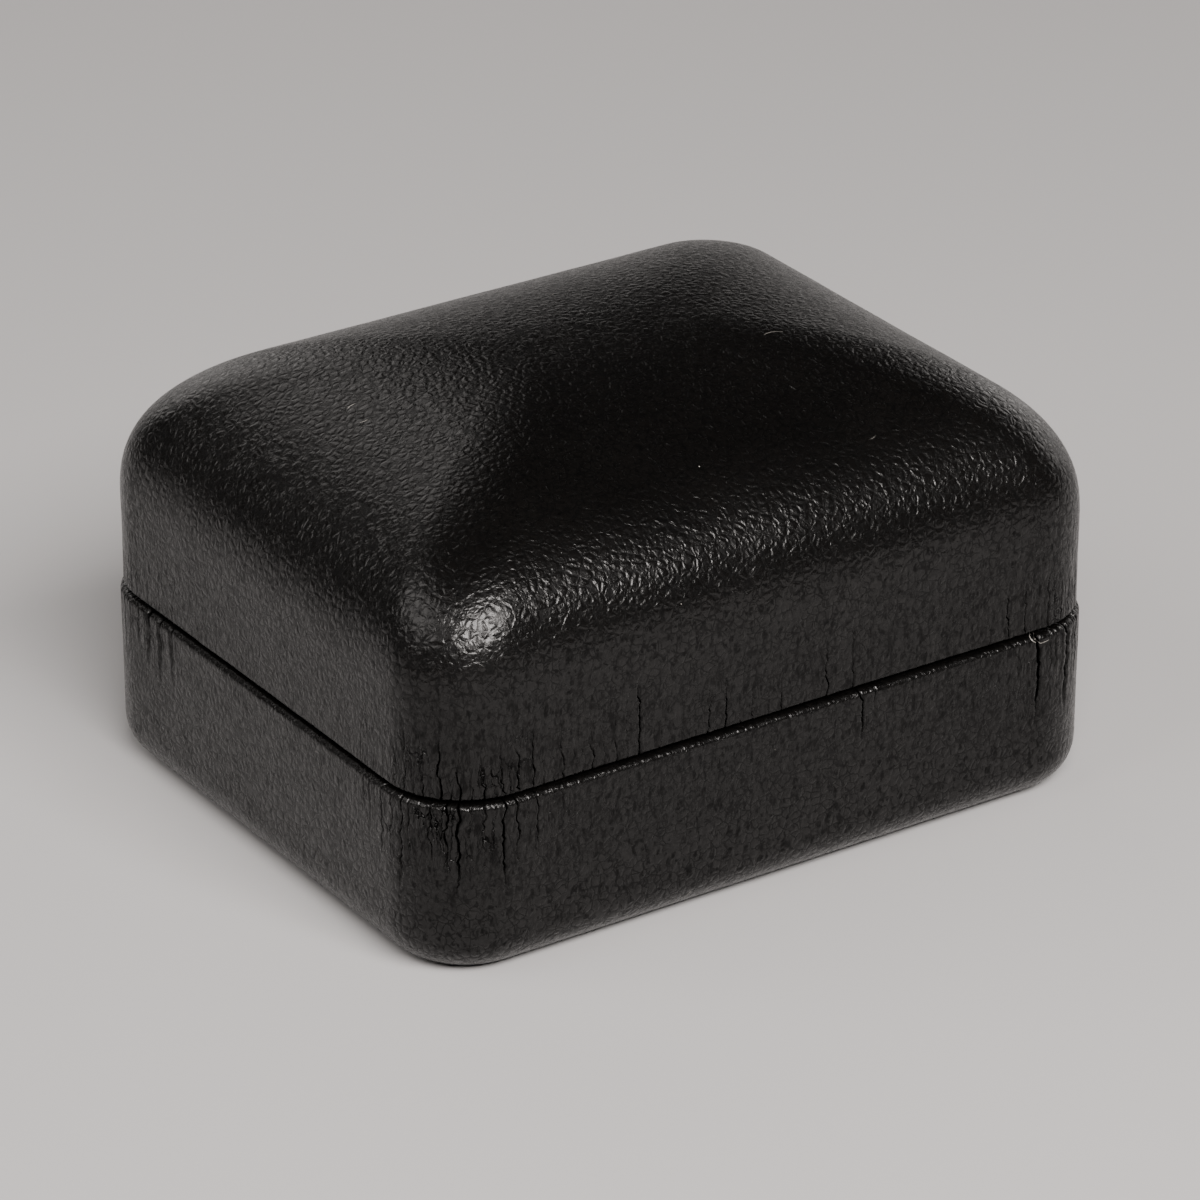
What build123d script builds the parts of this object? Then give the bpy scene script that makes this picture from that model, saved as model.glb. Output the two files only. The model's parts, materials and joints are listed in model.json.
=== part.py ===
"""Hinged presentation box for jewelry: two moulded shells wrapped in leather, with a snap hinge at the back.

Millimetres. X runs along the long side, the front faces -Y, +Z is up. The origin is the centre of the
underside, the flat face that the box rests on. Every function returns one piece of the box, and the last
block writes each of them to parts/ as a file of its own.
"""

import os

from build123d import *

# Driving dimensions of the closed box.
WIDTH = 76.0
DEPTH = 62.2
BASE_HEIGHT = 17.85
SEAM_GAP = 0.4
LID_WALL_HEIGHT = 9.1
DOME_RISE = 17.4
CORNER_RADIUS = 8.4
BASE_EDGE_RADIUS = 4.3
LID_STEP = 0.31
RIM_ROUNDING = 0.35

# The dome's outline, from the top of the lid's wall at 0 to the middle of the lid at 1.
DOME_FLATNESS = 2.0
DOME_SHOULDER = 2.56
DOME_CORNER_LOSS = 0.22
DOME_STATIONS = (0.0, 0.004, 0.014, 0.032, 0.06, 0.105, 0.17, 0.26, 0.38, 0.52, 0.68, 0.84)

# Wall build-up, from outside to inside.
LEATHER = 0.8
SHELL = 1.2
GLUE_LINE = 0.02
TURN_IN_DROP = 7.0
CARD = 0.8
VELVET = 0.4

# Collar: the lined band that stands in the base and guides the lid.
COLLAR_INSET = 3.4
COLLAR_STANDS_UP = 1.5
COLLAR_TURNOVER = 2.5
FLOOR_CARD = 1.0
FLOOR_CARD_INSET = 4.6

# Insert: a board with three padded rolls, so rings and studs are held in the grooves between them.
INSERT_INSET = 5.15
INSERT_BOARD = 1.0
INSERT_BOTTOM = 3.35
ROLL_COUNT = 3
ROLL_TOP = 16.4
ROLL_GAP = 0.3
ROLL_ROUNDING = 5.2

# Lid lining and lid pad.
LID_LINING_INSET = 2.9
LID_LINING_CARD = 0.6
LID_LINING_CLEARANCE = 0.5
PAD_INSET = 4.35
PAD_CARD = 0.8
PAD_WADDING = 1.6
PAD_TOP_ABOVE_SEAM = 14.1
SATIN = 0.3

# Hinge: sheet-metal leaves, a pin, a cam on the lid's leaf and a flat spring that bears on the cam.
PIN_RADIUS = 0.5
PIN_CLEARANCE = 0.04
KNUCKLE_RADIUS = 1.0
LEAF_THICKNESS = 0.4
KNUCKLE_HALF_LENGTH = 14.0
LID_KNUCKLE_HALF_LENGTH = 9.0
KNUCKLE_GAP = 0.2
CAM_HALF_LENGTH = 3.6
CAM_RADIUS = 1.25
CAM_FLAT = 0.93
OPEN_ANGLE = 100.0
LEAF_HEIGHT = 6.6
NOTCH_SIDE_ROOM = 0.5
NOTCH_HEIGHT = 1.25
CAM_NOTCH_HEIGHT = 1.65
SPRING_THICKNESS = 0.25
SPRING_HALF_WIDTH = 3.2
FIT_ROOM = 0.02

# Rivets through the leaves and the shells.
RIVET_RADIUS = 0.9
RIVET_HEAD_RADIUS = 1.5
RIVET_HEAD = 0.3
RIVET_OUTER_HEAD = 0.45
RIVET_SPACING = 9.5
RIVET_DROP = 4.6

# Worked out from the values above.
SHELL_INNER = LEATHER + GLUE_LINE + SHELL
TURN_IN_INNER = SHELL_INNER + LEATHER
LID_BOTTOM = BASE_HEIGHT + SEAM_GAP
LID_SHOULDER = LID_BOTTOM + LID_WALL_HEIGHT
HINGE_Y = DEPTH / 2
HINGE_Z = BASE_HEIGHT + SEAM_GAP / 2
COLLAR_TOP = BASE_HEIGHT + COLLAR_STANDS_UP
PAD_TOP = LID_BOTTOM + PAD_TOP_ABOVE_SEAM
FLAT_REACH = 1.6


def span_box(x_range, y_range, z_range):
    """A plain box between two values on each axis."""
    low = (x_range[0], y_range[0], z_range[0])
    size = (x_range[1] - x_range[0], y_range[1] - y_range[0], z_range[1] - z_range[0])
    return Pos(*low) * Box(*size, align=(Align.MIN, Align.MIN, Align.MIN))


def plan(inset, z, corner_radius):
    """The box's rounded plan outline at a height, drawn in by an inset."""
    outline = RectangleRounded(WIDTH - 2 * inset, DEPTH - 2 * inset, corner_radius)
    return Pos(0, 0, z) * outline


def block(inset, bottom, top):
    """An upright block with the box's plan outline, drawn in by an inset."""
    return extrude(plan(inset, bottom, CORNER_RADIUS - inset), amount=top - bottom)


def band(outer_inset, inner_inset, bottom, top):
    """An upright wall that follows the plan outline between two insets."""
    return block(outer_inset, bottom, top) - block(inner_inset, bottom - 1, top + 1)


def base_form(inset, top):
    """The base's outer form with its rounded lower edge, drawn in on every side by an inset."""
    upright = block(inset, inset, top)
    lower_edges = upright.faces().sort_by(Axis.Z)[0].edges()
    return fillet(lower_edges, BASE_EDGE_RADIUS - inset)


def dome_height(station):
    """Height above the shoulder at a station from the wall, 0, to the middle of the lid, 1."""
    return DOME_RISE * (1 - (1 - station) ** DOME_FLATNESS) ** (1 / DOME_SHOULDER)


def lid_form(inset, bottom):
    """The lid's outer form: upright walls and a pillowed dome, drawn in on every side by an inset."""
    reach = DEPTH / 2 - LID_STEP
    shoulder = LID_SHOULDER - inset
    sections = []
    for station in DOME_STATIONS:
        section_inset = LID_STEP + inset + station * (reach - inset)
        corner = CORNER_RADIUS - LID_STEP - inset - DOME_CORNER_LOSS * station * reach
        sections.append(plan(section_inset, shoulder + dome_height(station), max(corner, 1.0)))
    dome = loft(sections)
    return dome + block(LID_STEP + inset, bottom, shoulder)


def hinge_cylinder(radius, x_range):
    """A cylinder on the hinge axis between two places along X."""
    length = x_range[1] - x_range[0]
    upright = Cylinder(radius, length, align=(Align.CENTER, Align.CENTER, Align.MIN))
    return Pos(x_range[0], HINGE_Y, HINGE_Z) * Rot(0, 90, 0) * upright


def hinge_notch():
    """The room cut through both rims for the hinge barrel, deeper and taller at the cam."""
    half = KNUCKLE_HALF_LENGTH + NOTCH_SIDE_ROOM
    depth = (HINGE_Y - TURN_IN_INNER - 1, HINGE_Y + 2)
    barrel = span_box((-half, half), depth, (HINGE_Z - NOTCH_HEIGHT, HINGE_Z + NOTCH_HEIGHT))
    cam_half = CAM_HALF_LENGTH + NOTCH_SIDE_ROOM
    cam = span_box((-cam_half, cam_half), depth, (HINGE_Z - CAM_NOTCH_HEIGHT, HINGE_Z + CAM_NOTCH_HEIGHT))
    return barrel + cam


def leaf_window(z_range):
    """The gap left in the turned-in leather where a hinge leaf lies against its shell."""
    half = KNUCKLE_HALF_LENGTH + NOTCH_SIDE_ROOM
    depth = (HINGE_Y - TURN_IN_INNER - LEATHER, HINGE_Y - SHELL_INNER - FIT_ROOM / 2)
    return span_box((-half, half), depth, z_range)


def rivet_body(x, z, shell_outer_inset, clamped):
    """One rivet along Y: an outer head sunk in the shell, a shank, and a domed inner head on the metal."""
    outer_face = HINGE_Y - shell_outer_inset
    inner_face = outer_face - SHELL - clamped
    turn = Rot(90, 0, 0)
    low = (Align.CENTER, Align.CENTER, Align.MIN)
    outer = Cylinder(RIVET_HEAD_RADIUS, RIVET_OUTER_HEAD, align=low)
    shank = Cylinder(RIVET_RADIUS, outer_face - inner_face, align=low)
    head = Cylinder(RIVET_HEAD_RADIUS, RIVET_HEAD, align=low)
    head = fillet(head.edges().sort_by(Axis.Z)[-1], RIVET_HEAD * 0.6)
    at_outer = Pos(x, outer_face, z) * turn
    at_inner = Pos(x, inner_face, z) * turn
    return at_outer * outer + at_outer * shank + at_inner * head


def rivet_hole(x, z, shell_outer_inset):
    """The hole and the sunk seat for one rivet, through shell, leaf and spring."""
    outer_face = HINGE_Y - shell_outer_inset
    turn = Rot(90, 0, 0)
    low = (Align.CENTER, Align.CENTER, Align.MIN)
    seat = Cylinder(RIVET_HEAD_RADIUS + FIT_ROOM, RIVET_OUTER_HEAD + FIT_ROOM, align=low)
    through = Cylinder(RIVET_RADIUS + FIT_ROOM, SHELL + 2, align=low)
    return Pos(x, outer_face, z) * turn * (seat + through)


BASE_RIVETS = [(-RIVET_SPACING, 0.0), (0.0, SPRING_THICKNESS + FIT_ROOM), (RIVET_SPACING, 0.0)]
BASE_RIVET_Z = HINGE_Z - RIVET_DROP
LID_RIVETS = [-RIVET_SPACING, RIVET_SPACING]
LID_RIVET_Z = HINGE_Z + RIVET_DROP


def base_shell():
    """Moulded tub of the base, open at the top."""
    rim = BASE_HEIGHT - LEATHER - GLUE_LINE
    tub = base_form(LEATHER + GLUE_LINE, rim)
    tub -= base_form(SHELL_INNER, rim + 1)
    tub -= hinge_notch()
    for x, _ in BASE_RIVETS:
        tub -= rivet_hole(x, BASE_RIVET_Z, LEATHER + GLUE_LINE)
    return tub


def base_leather():
    """One skin of leather under and round the tub, over its rim and down its inner face."""
    rim = BASE_HEIGHT - LEATHER
    skin = base_form(0, BASE_HEIGHT)
    top_edges = skin.faces().sort_by(Axis.Z)[-1].edges()
    skin = fillet(top_edges, RIM_ROUNDING)
    skin -= base_form(LEATHER, rim)
    skin -= block(TURN_IN_INNER, rim - 1, BASE_HEIGHT + 1)
    turn_in = band(SHELL_INNER + GLUE_LINE, TURN_IN_INNER, BASE_HEIGHT - TURN_IN_DROP, rim)
    skin += turn_in
    skin -= leaf_window((BASE_HEIGHT - TURN_IN_DROP - 1, BASE_HEIGHT + 1))
    return skin - hinge_notch()


def base_floor_card():
    """Card that covers the tub's floor."""
    bottom = SHELL_INNER + GLUE_LINE
    return block(FLOOR_CARD_INSET, bottom, bottom + FLOOR_CARD)


def collar_card():
    """Card band that stands on the floor card's level, lines the base and guides the lid."""
    bottom = SHELL_INNER + FLOOR_CARD + 4 * GLUE_LINE
    inset = COLLAR_INSET + VELVET
    return band(inset, inset + CARD, bottom, COLLAR_TOP - VELVET - GLUE_LINE)


def collar_velvet():
    """Velvet on the collar's inner face, over its top edge and a little way down outside."""
    bottom = SHELL_INNER + FLOOR_CARD + 4 * GLUE_LINE
    card_inset = COLLAR_INSET + VELVET
    inner_inset = card_inset + CARD + VELVET
    velvet = band(COLLAR_INSET, inner_inset, bottom, COLLAR_TOP)
    velvet = fillet(velvet.faces().sort_by(Axis.Z)[-1].edges(), VELVET * 0.6)
    velvet -= band(card_inset - GLUE_LINE, card_inset + CARD + GLUE_LINE, bottom - 1, COLLAR_TOP - VELVET)
    return velvet - band(COLLAR_INSET - 1, card_inset, bottom - 1, COLLAR_TOP - COLLAR_TURNOVER)


def insert_board():
    """Stiff board that carries the three rolls."""
    return block(INSERT_INSET, INSERT_BOTTOM, INSERT_BOTTOM + INSERT_BOARD)


def roll_form(index, inset, bottom):
    """One loaf-shaped roll across the box, drawn in by an inset."""
    room = DEPTH - 2 * INSERT_INSET
    pitch = room / ROLL_COUNT
    middle = -room / 2 + pitch * (index + 0.5)
    half_depth = (pitch - ROLL_GAP) / 2 - inset
    half_width = WIDTH / 2 - INSERT_INSET - inset
    loaf = span_box(
        (-half_width, half_width), (middle - half_depth, middle + half_depth), (bottom, ROLL_TOP - inset)
    )
    loaf = fillet(loaf.faces().sort_by(Axis.Z)[-1].edges(), ROLL_ROUNDING - inset)
    return loaf & block(INSERT_INSET + inset, bottom - 1, ROLL_TOP + 1)


def roll_foam(index):
    """Foam core of one roll."""
    return roll_form(index, VELVET + GLUE_LINE, INSERT_BOTTOM + INSERT_BOARD + GLUE_LINE)


def roll_velvet(index):
    """Velvet cover of one roll, open underneath where it is glued to the board."""
    bottom = INSERT_BOTTOM + INSERT_BOARD + GLUE_LINE
    return roll_form(index, 0, bottom) - roll_form(index, VELVET, bottom - 1)


def lid_shell():
    """Moulded dome of the lid, open underneath."""
    rim = LID_BOTTOM + LEATHER + GLUE_LINE
    dome = lid_form(LEATHER + GLUE_LINE, rim)
    dome -= lid_form(SHELL_INNER, rim - 1)
    dome -= hinge_notch()
    for x in LID_RIVETS:
        dome -= rivet_hole(x, LID_RIVET_Z, LID_STEP + LEATHER + GLUE_LINE)
    return dome


def lid_leather():
    """One skin of leather over the dome, round its rim and up its inner face."""
    rim = LID_BOTTOM + LEATHER
    skin = lid_form(0, LID_BOTTOM)
    lower_edges = skin.faces().sort_by(Axis.Z)[0].edges()
    skin = fillet(lower_edges, RIM_ROUNDING)
    skin -= lid_form(LEATHER, rim)
    skin -= block(LID_STEP + TURN_IN_INNER, LID_BOTTOM - 1, rim + 1)
    inner = LID_STEP + SHELL_INNER + GLUE_LINE
    skin += band(inner, LID_STEP + TURN_IN_INNER, rim, LID_BOTTOM + TURN_IN_DROP)
    half = KNUCKLE_HALF_LENGTH + NOTCH_SIDE_ROOM
    depth = (HINGE_Y - LID_STEP - TURN_IN_INNER - LEATHER, HINGE_Y - LID_STEP - SHELL_INNER - FIT_ROOM / 2)
    skin -= span_box((-half, half), depth, (LID_BOTTOM - 1, LID_BOTTOM + TURN_IN_DROP + 1))
    return skin - hinge_notch()


def lid_lining_card():
    """Card band round the inside of the lid's wall, above the collar."""
    inset = LID_STEP + LID_LINING_INSET
    bottom = COLLAR_TOP + LID_LINING_CLEARANCE + SATIN
    return band(inset, inset + LID_LINING_CARD, bottom, PAD_TOP - PAD_CARD - PAD_WADDING - SATIN)


def lid_lining_satin():
    """Satin on the inner face of the lid's card band, turned under its lower edge."""
    inset = LID_STEP + LID_LINING_INSET
    bottom = COLLAR_TOP + LID_LINING_CLEARANCE
    top = PAD_TOP - PAD_CARD - PAD_WADDING - SATIN
    satin = band(inset, inset + LID_LINING_CARD + SATIN, bottom, top)
    return satin - band(inset - 1, inset + LID_LINING_CARD + GLUE_LINE, bottom + SATIN - GLUE_LINE, top + 1)


def lid_pad_card():
    """Card that carries the padded satin panel inside the lid."""
    return block(PAD_INSET + SATIN + GLUE_LINE, PAD_TOP - PAD_CARD, PAD_TOP)


def pad_form(inset):
    """The pad's outer form, with a rounded lower edge, drawn in on every side by an inset."""
    bottom = PAD_TOP - PAD_CARD - PAD_WADDING - SATIN + inset
    upright = block(PAD_INSET + inset, bottom, PAD_TOP - PAD_CARD)
    lower_edges = upright.faces().sort_by(Axis.Z)[0].edges()
    return fillet(lower_edges, PAD_WADDING - inset)


def lid_pad_wadding():
    """Soft wadding between the pad's card and its satin."""
    return pad_form(SATIN + GLUE_LINE)


def lid_pad_satin():
    """Satin stretched over the wadding and up round the card's edge."""
    satin = pad_form(0) + block(PAD_INSET, PAD_TOP - PAD_CARD, PAD_TOP)
    satin -= pad_form(SATIN)
    return satin - block(PAD_INSET + SATIN, PAD_TOP - PAD_CARD - GLUE_LINE, PAD_TOP + 1)


def knuckle_bore(x_range, clearance):
    """The bore for the pin along part of the hinge axis."""
    return hinge_cylinder(PIN_RADIUS + clearance, x_range)


def hinge_leaf_base():
    """Base leaf: a plate on the tub's inner face with an arm at each end, rolled into a knuckle."""
    half = KNUCKLE_HALF_LENGTH
    arm_start = LID_KNUCKLE_HALF_LENGTH + KNUCKLE_GAP
    plate_y = (HINGE_Y - SHELL_INNER - FIT_ROOM - LEAF_THICKNESS, HINGE_Y - SHELL_INNER - FIT_ROOM)
    plate_top = HINGE_Z - CAM_NOTCH_HEIGHT - SPRING_THICKNESS
    arm_z = (HINGE_Z - KNUCKLE_RADIUS, HINGE_Z - KNUCKLE_RADIUS + LEAF_THICKNESS)
    leaf = span_box((-half, half), plate_y, (plate_top - LEAF_HEIGHT, plate_top))
    for side in (-1, 1):
        x_range = sorted((side * arm_start, side * half))
        leaf += span_box(x_range, plate_y, (plate_top - 1, arm_z[1]))
        leaf += span_box(x_range, (plate_y[0], HINGE_Y), arm_z)
        leaf += hinge_cylinder(KNUCKLE_RADIUS, x_range)
    leaf -= knuckle_bore((-half - 1, half + 1), FIT_ROOM)
    for x, _ in BASE_RIVETS:
        leaf -= rivet_hole(x, BASE_RIVET_Z, LEATHER + GLUE_LINE)
    return leaf


def hinge_leaf_lid():
    """Lid leaf: a plate on the dome's inner face, an arm, a long knuckle and the cam in its middle."""
    half = KNUCKLE_HALF_LENGTH
    arm_half = LID_KNUCKLE_HALF_LENGTH
    inner = HINGE_Y - LID_STEP - SHELL_INNER - FIT_ROOM
    plate_y = (inner - LEAF_THICKNESS, inner)
    plate_bottom = HINGE_Z + CAM_NOTCH_HEIGHT + SPRING_THICKNESS
    arm_z = (HINGE_Z + KNUCKLE_RADIUS - LEAF_THICKNESS, HINGE_Z + KNUCKLE_RADIUS)
    leaf = span_box((-half, half), plate_y, (plate_bottom, plate_bottom + LEAF_HEIGHT))
    leaf += span_box((-arm_half, arm_half), plate_y, (arm_z[0], plate_bottom + 1))
    leaf += span_box((-arm_half, arm_half), (plate_y[0], HINGE_Y), arm_z)
    leaf += hinge_cylinder(KNUCKLE_RADIUS, (-arm_half, arm_half))
    leaf += hinge_cylinder(CAM_RADIUS, (-CAM_HALF_LENGTH, CAM_HALF_LENGTH))
    leaf -= cam_flats()
    leaf -= knuckle_bore((-arm_half - 1, arm_half + 1), PIN_CLEARANCE)
    for x in LID_RIVETS:
        leaf -= rivet_hole(x, LID_RIVET_Z, LID_STEP + LEATHER + GLUE_LINE)
    return leaf


def cam_flats():
    """What is cut from the cam: a flat underneath when shut, and one that comes down there when open."""
    half = CAM_HALF_LENGTH + FIT_ROOM
    cutter = span_box((-half, half), (-FLAT_REACH, FLAT_REACH), (-FLAT_REACH, -CAM_FLAT))
    at_axis = Pos(0, HINGE_Y, HINGE_Z)
    return at_axis * cutter + at_axis * Rot(OPEN_ANGLE, 0, 0) * cutter


def hinge_pin():
    """Steel pin through every knuckle, headed over at both ends."""
    half = KNUCKLE_HALF_LENGTH
    head = 0.3
    pin = hinge_cylinder(PIN_RADIUS, (-half - head, half + head))
    for start in (-half - head, half + FIT_ROOM):
        pin += hinge_cylinder(PIN_RADIUS * 1.5, (start, start + head - FIT_ROOM))
    return pin


def snap_spring():
    """Flat spring: riveted over the base leaf, bent outwards under the cam so that its flats snap home."""
    face = HINGE_Y - SHELL_INNER - LEAF_THICKNESS - 2 * FIT_ROOM
    finger_top = HINGE_Z - CAM_FLAT - FIT_ROOM
    finger_bottom = finger_top - SPRING_THICKNESS
    stem_y = (face - SPRING_THICKNESS, face)
    stem_bottom = BASE_RIVET_Z - 2 * RIVET_HEAD_RADIUS
    half = SPRING_HALF_WIDTH
    spring = span_box((-half, half), stem_y, (stem_bottom, finger_top))
    spring += span_box((-half, half), (stem_y[0], HINGE_Y + CAM_RADIUS / 2), (finger_bottom, finger_top))
    return spring - rivet_hole(0, BASE_RIVET_Z, LEATHER + GLUE_LINE)


def base_rivets():
    """Three rivets for the base leaf, the middle one also through the spring."""
    clamped = LEAF_THICKNESS + 2 * FIT_ROOM
    outer = LEATHER + GLUE_LINE
    return [rivet_body(x, BASE_RIVET_Z, outer, clamped + extra) for x, extra in BASE_RIVETS]


def lid_rivets():
    """Two rivets for the lid leaf."""
    clamped = LEAF_THICKNESS + 2 * FIT_ROOM
    outer = LID_STEP + LEATHER + GLUE_LINE
    return [rivet_body(x, LID_RIVET_Z, outer, clamped) for x in LID_RIVETS]


PIECES = {
    "base_shell": base_shell(),
    "base_leather": base_leather(),
    "base_floor_card": base_floor_card(),
    "collar_card": collar_card(),
    "collar_velvet": collar_velvet(),
    "insert_board": insert_board(),
    "lid_shell": lid_shell(),
    "lid_leather": lid_leather(),
    "lid_lining_card": lid_lining_card(),
    "lid_lining_satin": lid_lining_satin(),
    "lid_pad_card": lid_pad_card(),
    "lid_pad_wadding": lid_pad_wadding(),
    "lid_pad_satin": lid_pad_satin(),
    "hinge_leaf_base": hinge_leaf_base(),
    "hinge_leaf_lid": hinge_leaf_lid(),
    "hinge_pin": hinge_pin(),
    "snap_spring": snap_spring(),
    "base_rivets": Compound(children=base_rivets()),
    "lid_rivets": Compound(children=lid_rivets()),
}
for number, place in enumerate(("front", "middle", "back")):
    PIECES[f"roll_foam_{place}"] = roll_foam(number)
    PIECES[f"roll_velvet_{place}"] = roll_velvet(number)

os.makedirs("parts", exist_ok=True)
for node, piece in PIECES.items():
    export_step(piece, f"parts/{node}.step")
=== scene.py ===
import json
import math
import random

import bmesh
import bpy
import numpy as np
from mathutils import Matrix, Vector, noise


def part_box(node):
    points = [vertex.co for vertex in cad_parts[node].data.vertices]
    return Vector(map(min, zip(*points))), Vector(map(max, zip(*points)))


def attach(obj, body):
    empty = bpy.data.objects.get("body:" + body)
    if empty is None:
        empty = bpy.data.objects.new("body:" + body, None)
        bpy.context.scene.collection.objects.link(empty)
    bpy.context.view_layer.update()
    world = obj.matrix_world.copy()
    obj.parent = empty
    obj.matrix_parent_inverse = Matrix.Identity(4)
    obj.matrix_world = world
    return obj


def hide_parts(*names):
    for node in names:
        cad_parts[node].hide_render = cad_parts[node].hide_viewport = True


# A small hinged presentation box: two moulded shells wrapped in black leather, a snap hinge at the back,
# and a velvet and satin inside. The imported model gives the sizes; one millimetre is MM scene units.
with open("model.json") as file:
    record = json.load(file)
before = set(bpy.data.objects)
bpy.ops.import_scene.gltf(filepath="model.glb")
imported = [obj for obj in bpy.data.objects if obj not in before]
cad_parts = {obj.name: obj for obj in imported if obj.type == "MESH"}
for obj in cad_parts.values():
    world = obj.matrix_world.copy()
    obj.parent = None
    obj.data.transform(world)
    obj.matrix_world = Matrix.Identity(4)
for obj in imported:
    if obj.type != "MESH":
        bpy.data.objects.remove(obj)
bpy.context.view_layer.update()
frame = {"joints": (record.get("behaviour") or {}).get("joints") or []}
MM = 0.001


# ---- Studio ------------------------------------------------------------------------------------------
# A pale table whose edge curves up into a low rim, in a dark room, so the leather mirrors the table
# low down and the lamps high up. The camera stands in front, to the left of the middle and above.
table_radius = 1.8
table_cove = 0.22
cove_steps = 12

table = bmesh.new()
table_edge = [Vector((0, 0, 0)), Vector((0.3, 0, 0)), Vector((table_radius - table_cove, 0, 0))]
for step in range(1, cove_steps + 1):
    turn = math.radians(80) * step / cove_steps
    out = table_radius - table_cove + table_cove * math.sin(turn)
    table_edge.append(Vector((out, 0, table_cove * (1 - math.cos(turn)))))
edge_verts = [table.verts.new(point) for point in table_edge]
edge_lines = [table.edges.new(pair) for pair in zip(edge_verts, edge_verts[1:])]
bmesh.ops.spin(table, geom=edge_verts + edge_lines, cent=(0, 0, 0), axis=(0, 0, 1),
               angle=2 * math.pi, steps=96, use_merge=True)
bmesh.ops.remove_doubles(table, verts=table.verts, dist=1e-5)
table_mesh = bpy.data.meshes.new("table")
table.to_mesh(table_mesh)
table.free()
for face in table_mesh.polygons:
    face.use_smooth = True
table_object = bpy.data.objects.new("table", table_mesh)
bpy.context.scene.collection.objects.link(table_object)

pale_table = bpy.data.materials.new("pale_table")
pale_table.use_nodes = True
pale_table_shader = pale_table.node_tree.nodes["Principled BSDF"]
pale_table_shader.inputs["Base Color"].default_value = (0.42, 0.413, 0.413, 1)
pale_table_shader.inputs["Roughness"].default_value = 0.85
table_mesh.materials.append(pale_table)


def soft_lamp(name, azimuth, elevation, distance, size, brightness):
    """A rectangular soft lamp facing the box; its azimuth runs from the front towards the right."""
    turn, rise = math.radians(azimuth), math.radians(elevation)
    towards = Vector((math.sin(turn) * math.cos(rise), -math.cos(turn) * math.cos(rise), math.sin(rise)))
    lamp = bpy.data.lights.new(name, "AREA")
    lamp.shape = "RECTANGLE"
    lamp.size, lamp.size_y = size
    lamp.energy = brightness * math.pi * size[0] * size[1]
    lamp.color = (1, 0.955, 0.925)
    holder = bpy.data.objects.new(name, lamp)
    holder.location = towards * distance
    holder.rotation_mode = "QUATERNION"
    holder.rotation_quaternion = towards.to_track_quat("Z", "Y")
    holder.visible_camera = False
    bpy.context.scene.collection.objects.link(holder)


soft_lamp("lamp_front_box", -11, 43.5, 0.7, (0.53, 0.26), 28.0)
soft_lamp("lamp_left_box", -102, 40, 0.7, (0.66, 0.40), 3.2)
soft_lamp("lamp_back_panel", 175, 27, 0.8, (0.42, 0.70), 1.15)
soft_lamp("lamp_right_panel", 105, 14, 0.8, (0.66, 0.36), 1.5)
soft_lamp("lamp_low_strip", 142, 4, 0.9, (0.80, 0.14), 0.55)

room = bpy.data.worlds.new("dark_room")
room.use_nodes = True
room.node_tree.nodes["Background"].inputs["Color"].default_value = (0.03, 0.03, 0.031, 1)
room.node_tree.nodes["Background"].inputs["Strength"].default_value = 0.4
bpy.context.scene.world = room

camera_azimuth = math.radians(-33.7)
camera_elevation = math.radians(26.28)
camera_distance = 0.5762
camera_aim_height = 16.81 * MM
camera_aim_right = 0.19 * MM
camera_lens = 181.4
camera = bpy.data.cameras.new("camera")
camera.sensor_width = 36
camera.lens = camera_lens
camera.clip_start = 0.01
camera_holder = bpy.data.objects.new("camera", camera)
camera_back = Vector((math.sin(camera_azimuth) * math.cos(camera_elevation),
                      -math.cos(camera_azimuth) * math.cos(camera_elevation),
                      math.sin(camera_elevation)))
camera_right = Vector((math.cos(camera_azimuth), math.sin(camera_azimuth), 0))
camera_aim = camera_right * camera_aim_right + Vector((0, 0, camera_aim_height))
camera_holder.location = camera_aim + camera_back * camera_distance
camera_holder.rotation_mode = "QUATERNION"
camera_holder.rotation_quaternion = (-camera_back).to_track_quat("-Z", "Y")
bpy.context.scene.collection.objects.link(camera_holder)
bpy.context.scene.camera = camera_holder


# ---- Base leather ------------------------------------------------------------------------------------
# One skin of thin black leather, stretched wet over the moulded tub from below, turned over its rim and
# glued down inside. Where it was gathered at the corners it has fine upright creases and a few cracks.
base_low, base_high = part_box("base_leather")
box_width = (base_high.x - base_low.x) / MM
box_depth = (base_high.y - base_low.y) / MM
base_height = base_high.z / MM
corner_radius = 8.4
base_edge_radius = 4.3
leather = 0.8
shell_inner = 2.04
turn_in_inner = 2.84
turn_in_drop = 7.0
base_rim_rounding = 0.62


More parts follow.
